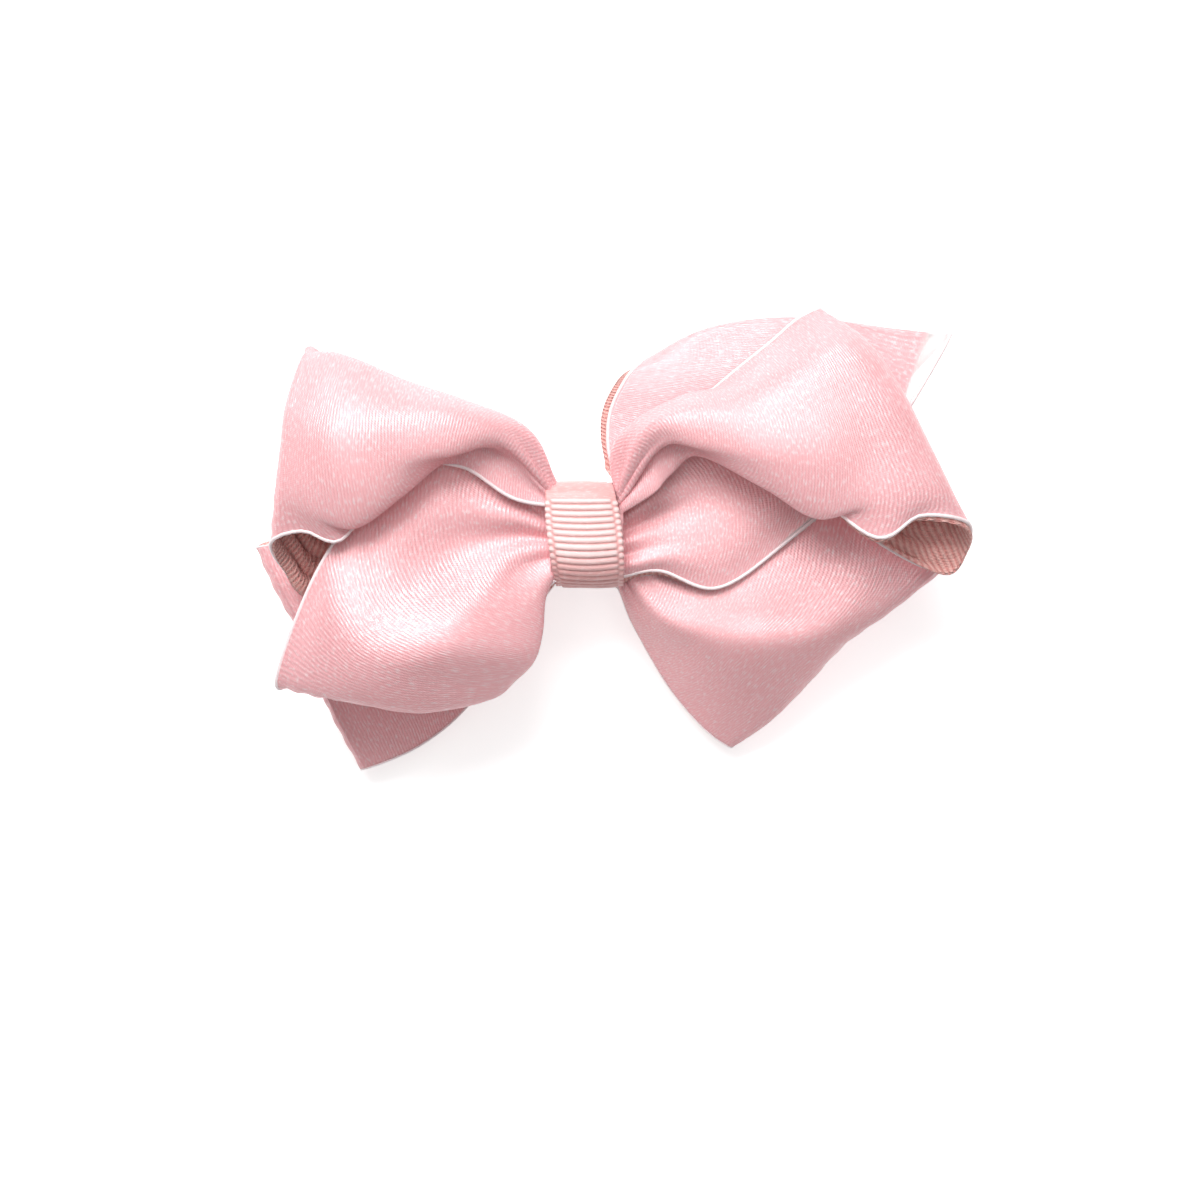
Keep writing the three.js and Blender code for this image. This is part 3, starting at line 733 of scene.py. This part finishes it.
def make_loop(name, rows, seed):
    """One loop of the bow: the shimmer ribbon, its lining inside and its two selvage cords."""
    side = 1 if "right" in name else -1
    if name == "lower_right":
        side = -side         # its rows run from the lower selvage to the upper one
    grid, normal, length = ribbon_grid(rows, side, seed, FOLD_ROWS[name])
    outer = grid + normal * (LAYER_GAP / 2 + SHIMMER_THICKNESS / 2)
    shimmer = cloth_strip(f"shimmer_ribbon_{name}", outer, length, RIBBON_WIDTH, SHIMMER, side < 0)
    thicken(shimmer, SHIMMER_THICKNESS)
    if name == "back_right":
        mark_sheer(shimmer)
    inner = grid - normal * (LAYER_GAP / 2 + LINING_THICKNESS / 2)
    if name in LINING_REACH:
        inner = reach_out(inner, LINING_REACH[name])
    lining = cloth_strip(f"grosgrain_lining_{name}", inner, length, RIBBON_WIDTH, LINING, side < 0)
    thicken(lining, LINING_THICKNESS)
    starts = [int(share * len(outer)) for share in CORD_STARTS.get(name, (0, 0))]
    edges = [outer[starts[0]:, 0], outer[starts[1]:, -1]]
    cord_radius = HIDDEN_SELVAGE_RADIUS if name in THIN_CORDED else SELVAGE_RADIUS
    selvage = tube_along(f"selvage_cords_{name}", edges, cord_radius, CORD)
    slots = {shimmer: "shimmer_ribbon", lining: "grosgrain_lining", selvage: "shimmer_ribbon"}
    for piece, slot in slots.items():
        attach(piece, "bow")
    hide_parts(f"shimmer_loop_{name}")
    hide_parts(f"lining_loop_{name}")


# ---------------------------------------------------------------- the knot
def mark_ribs(obj, rib_heights_and_shade):
    """The height of the rib at each point of a strip, with painted shade towards the band's lower side, for
    its material.
    """
    rows, columns = rib_heights_and_shade.shape
    values = np.zeros(rows * columns)
    uv = obj.data.uv_layers["ribbon"].data
    length = max(item.uv[0] for item in uv)
    width = max(item.uv[1] for item in uv)
    for loop, item in zip(obj.data.loops, uv):
        i = round(item.uv[0] / length * (rows - 1))
        j = round(item.uv[1] / width * (columns - 1))
        values[loop.vertex_index] = rib_heights_and_shade[i, j]
    obj.data.attributes.new("rib", "FLOAT", "POINT").data.foreach_set("value", values)


def rounded_outline(half_y, low_z, high_z, radii, steps):
    """Points round a rounded rectangle in the plane of Y and Z, with a radius for each corner."""
    points = []
    corners = [(half_y, high_z, -1, -1, 0), (-half_y, high_z, 1, -1, 90),
               (-half_y, low_z, 1, 1, 180), (half_y, low_z, -1, 1, 270)]
    for (y, z, inward_y, inward_z, start), radius in zip(corners, radii):
        for step in range(steps):
            angle = math.radians(start + 90 * step / (steps - 1))
            points.append((y + inward_y * radius + radius * math.cos(angle),
                           z + inward_z * radius + radius * math.sin(angle)))
    return np.array(points)


def rib_wave(turn):
    """The height of a rib, from 0 to 1, after this many ribs."""
    return 0.5 + 0.5 * math.cos(FULL_TURN * turn)


def knot_band():
    """Narrow grosgrain wrapped round the gathers, with real ribs and a beaded border."""
    half_y = band_high[1] - BAND_INSET_Y
    low_z, high_z = band_low[2] + BAND_INSET_Z, band_high[2] - BAND_INSET_Z
    path = rounded_outline(half_y, low_z, high_z, WRAP_CORNERS, 13)
    path = np.concatenate([path, path[:1]])
    travelled = distances(path)
    length = travelled[-1]
    cells = round(length / BAND_RIB_PITCH) * STEPS_PER_RIB
    at = np.linspace(0, length, cells + 1)
    y = np.interp(at, travelled, path[:, 0])
    z = np.interp(at, travelled, path[:, 1])
    tangent = np.stack([np.gradient(y), np.gradient(z)], axis=1)
    tangent /= np.linalg.norm(tangent, axis=1, keepdims=True)
    across = np.linspace(-1, 1, BAND_COLUMNS)
    grid = np.zeros((cells + 1, BAND_COLUMNS, 3))
    rib_heights_and_shade = np.zeros((cells + 1, BAND_COLUMNS))
    for i in range(cells + 1):
        up = (z[i] - low_z) / (high_z - low_z)
        width = WRAP_WIDTH - WRAP_PULL * (y[i] / half_y) ** 2
        middle = WRAP_SHIFT + WRAP_SLANT * y[i]
        pressed_flat = y[i] > half_y - PRESSED_Y and z[i] > high_z - PRESSED_Z
        pressed = PRESSED_RISE if pressed_flat else 1.0
        # painted shade: towards the band's lower side (along -Y) the ribs' colour fades to the groove
        # colour, where the band turns under
        painted_shade_factor = min(1.0, max(0.3, (y[i] + half_y - 1.2) / 2.4))
        for j, share in enumerate(across):
            bead = abs(share) > BEAD_START
            rib = pressed * rib_wave(i / STEPS_PER_RIB + (0.5 if bead else 0.0))
            if BORDER_GROOVE < abs(share) <= BEAD_START:
                rib *= GROOVE_RISE
            rib_heights_and_shade[i, j] = rib**1.5 * painted_shade_factor
            dome = WRAP_DOME * (1 - share * share) * up
            bow = RIB_BOW * share * share * (1 - abs(y[i]) / half_y)
            unevenness = WRAP_UNEVENNESS * noise.noise(Vector((i * 0.02, share * 1.3, 4.0)))
            out = dome + (BEAD_RISE if bead else RIB_RISE) * rib + unevenness
            edge = 1 + (BEAD_BULGE * rib if bead else 0)
            grid[i, j] = (middle + share * edge * width / 2,
                          y[i] + tangent[i, 1] * out + bow, z[i] - tangent[i, 0] * out)
    band = cloth_strip("knot_wrap", grid, length, BAND_WIDTH, BAND, False)
    mark_ribs(band, rib_heights_and_shade)
    thicken(band, BAND_THICKNESS)
    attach(band, "bow")
    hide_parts("knot_band")


def lofted(name, sections, material):
    """A closed body through rings of points, with its two ends filled."""
    bm = bmesh.new()
    rings = [[bm.verts.new(Vector(point) * MM) for point in section] for section in sections]
    for ring, beyond in zip(rings, rings[1:]):
        for k in range(len(ring)):
            following = (k + 1) % len(ring)
            bm.faces.new((ring[k], ring[following], beyond[following], beyond[k]))
    bm.faces.new(rings[0][::-1])
    bm.faces.new(rings[-1])
    bmesh.ops.recalc_face_normals(bm, faces=bm.faces[:])
    return new_object(name, bm, material)


def gathered_stack():
    """The pinched ends of all the legs: a block of crushed pleats with a waist under the thread."""
    half_x, waist_reach, pleats = 4.6, 1.6, 24
    middle = (core_low[2] + core_high[2]) / 2
    low_z, high_z = core_low[2] + 0.1, core_high[2] - 0.1
    outline = rounded_outline(core_high[1] + 0.05, low_z, high_z, (3.4,) * 4, pleats)
    sections = []
    for x in np.linspace(-half_x, half_x, 25):
        waist = 0.86 + 0.12 * min(abs(x) / waist_reach, 1)
        ring = []
        for k, (y, z) in enumerate(outline):
            pleat = 0.97 + 0.03 * math.cos(FULL_TURN * pleats * k / len(outline) + 0.2 * x)
            crush = 1 + 0.03 * noise.noise(Vector((x * 0.5, y * 0.7, z * 0.9)))
            size = waist * pleat * crush
            ring.append((x, y * size, middle + (z - middle) * size))
        sections.append(ring)
    stack = lofted("gathered_stack", sections, CRUSHED)
    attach(stack, "bow")
    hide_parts("gathered_core")


def binding_thread():
    """Three turns of thread round the waist of the gathers, laid side by side."""
    radius, turns = 0.24, 3
    low, high = box_mm("binding_thread")
    outline = rounded_outline(high[1] - radius, low[2] + radius, high[2] - radius, (1.6,) * 4, 10)
    room = high[0] - low[0] - 2 * radius
    line = []
    for turn in range(turns):
        for k, (y, z) in enumerate(outline):
            share = (turn + k / len(outline)) / turns
            line.append((low[0] + radius + share * room, y, z))
    thread = tube_along("binding_thread_turns", [line], radius, CORD, roundness=3)
    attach(thread, "bow")
    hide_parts("binding_thread")


# ---------------------------------------------------------------- the clip
def glue_blob():
    """A dab of glue that was pressed flat between the clip and the knot, with an uneven rim."""
    inset, rim_points = 0.15, 64
    low, high = box_mm("glue_pad")
    half_x, half_y = high[0] - inset, high[1] - inset
    sections = []
    levels = [(0.0, 0.90), (0.12, 0.98), (0.35, 1.0), (0.7, 0.97), (0.9, 0.9), (1.0, 0.78)]
    for height, spread in levels:
        ring = []
        for k in range(rim_points):
            angle = FULL_TURN * k / rim_points
            right, up = math.cos(angle), math.sin(angle)
            corner = (abs(right) ** 3 + abs(up) ** 3) ** (-1 / 3)
            wobble = 0.05 * noise.noise(Vector((right * 2, up * 2, 3.0))) - 0.04
            size = corner * spread * (1 + wobble)
            ring.append((half_x * size * right, half_y * size * up, low[2] + height * (high[2] - low[2])))
        sections.append(ring)
    blob = lofted("glue_blob", sections, GLUE)
    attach(blob, "bow")
    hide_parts("glue_pad")


def clip_lining():
    """Narrow grosgrain glued along the upper jaw, with real ribs; its ends are heat-cut and turn down."""
    low, high = box_mm("clip_ribbon")
    length = high[0] - low[0]
    cells = round(length / BAND_RIB_PITCH) * STEPS_PER_RIB
    across = np.linspace(-1, 1, CLIP_RIBBON_COLUMNS)
    grid = np.zeros((cells + 1, CLIP_RIBBON_COLUMNS, 3))
    for i in range(cells + 1):
        x = low[0] + length * i / cells
        rib = rib_wave(i / STEPS_PER_RIB)
        turned_down = 0.1 * max(0.0, 1 - min(i, cells - i) / STEPS_PER_RIB)
        for j, share in enumerate(across):
            border = max(0.0, (abs(share) - 0.86) / 0.14)
            z = low[2] + 0.24 + 0.12 * rib * (1 - 0.6 * border) - turned_down
            y = share * (high[1] - 0.05) * (1 - 0.012 * rib * border)
            grid[i, j] = (x, y, z)
    lining = cloth_strip("clip_grosgrain", grid, length, high[1] - low[1], LINING, False)
    thicken(lining, CLIP_RIBBON_THICKNESS)
    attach(lining, "bow")
    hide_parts("clip_ribbon")


def clip_spring():
    """The torsion spring: turns round the pin with a leg to the lever, and a leg that stays with the jaw."""
    wire, turns, steps_per_turn = 0.2, 6.5, 24
    low, high = box_mm("clip_spring")
    pin_low, pin_high = box_mm("clip_pin")
    pin_x = (pin_low[0] + pin_high[0]) / 2
    pin_z = (pin_low[2] + pin_high[2]) / 2
    radius = high[0] - wire - pin_x
    first_y, last_y = low[1] + wire, high[1] - wire
    steps = int(turns * steps_per_turn)
    coil = []
    for i in range(steps + 1):
        share = i / steps
        angle = turns * FULL_TURN * share
        coil.append((pin_x + radius * math.sin(angle), first_y + (last_y - first_y) * share,
                     pin_z - radius * math.cos(angle)))
    coil.append((low[0] + wire, last_y, pin_z + radius))
    upper = tube_along("spring_coil", [coil], wire, STEEL, roundness=3)
    leg = [(pin_x, first_y, pin_z - radius), (low[0] + wire, first_y, pin_z - radius)]
    lower = tube_along("spring_lower_leg", [leg], wire, STEEL, roundness=3)
    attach(upper, "bow")
    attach(lower, "lower_jaw")
    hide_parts("clip_spring")


def steel_clip():
    """The clip's own CAD solids, in brushed steel."""
    for name in ["clip_upper_arm", "clip_lower_arm", "clip_pin"]:
        mesh = bpy.data.objects[name].data
        mesh.materials.clear()
        mesh.materials.append(STEEL)


# ---------------------------------------------------------------- floor, light and camera
FLOOR_REACH = 6.0
FLOOR_DROP = 0.0002
WORLD_LIGHT = 0.08
LIGHTS = [
    # name, place, size and power
    ("key", (-0.14, 0.44, 0.54), 0.42, 5.6),
    ("fill", (0.0, 0.1, 0.8), 0.8, 3.3),
]
LIGHT_TARGET = (0, 0, 0.01)
CAMERA_PLACE = (0.00166, -0.0083, 0.437)
CAMERA_LENS = 100
CAMERA_SENSOR = 36


def pale_floor():
    """A wide flat sheet just under the clip."""
    bm = bmesh.new()
    bmesh.ops.create_grid(bm, x_segments=1, y_segments=1, size=FLOOR_REACH)
    floor = new_object("floor", bm, floor_material())
    floor.location.z = -FLOOR_DROP


def soft_lights():
    """A large key light from above and beyond the bow, a wide fill over it, and a dim surround."""
    world = bpy.data.worlds.new("studio")
    world.use_nodes = True
    set_inputs(world.node_tree.nodes["Background"], {"Color": (1, 1, 1, 1), "Strength": WORLD_LIGHT})
    bpy.context.scene.world = world
    for name, place, size, power in LIGHTS:
        light = bpy.data.lights.new(name, "AREA")
        light.size = size
        light.energy = power
        lamp = bpy.data.objects.new(name, light)
        lamp.location = place
        towards = Vector(LIGHT_TARGET) - Vector(place)
        lamp.rotation_euler = towards.to_track_quat("-Z", "Y").to_euler()
        bpy.context.scene.collection.objects.link(lamp)


def camera_above():
    """The camera looks straight down on the bow, which lies on its back."""
    data = bpy.data.cameras.new("camera")
    data.lens = CAMERA_LENS
    data.sensor_width = CAMERA_SENSOR
    camera = bpy.data.objects.new("camera", data)
    camera.location = CAMERA_PLACE
    bpy.context.scene.collection.objects.link(camera)
    bpy.context.scene.camera = camera
    bpy.context.scene.view_settings.view_transform = "Standard"


for seed, (loop_name, loop_rows) in enumerate(LOOPS.items()):
    make_loop(loop_name, loop_rows, seed + 1)
knot_band()
gathered_stack()
binding_thread()
glue_blob()
clip_lining()
clip_spring()
steel_clip()
pale_floor()
soft_lights()
camera_above()
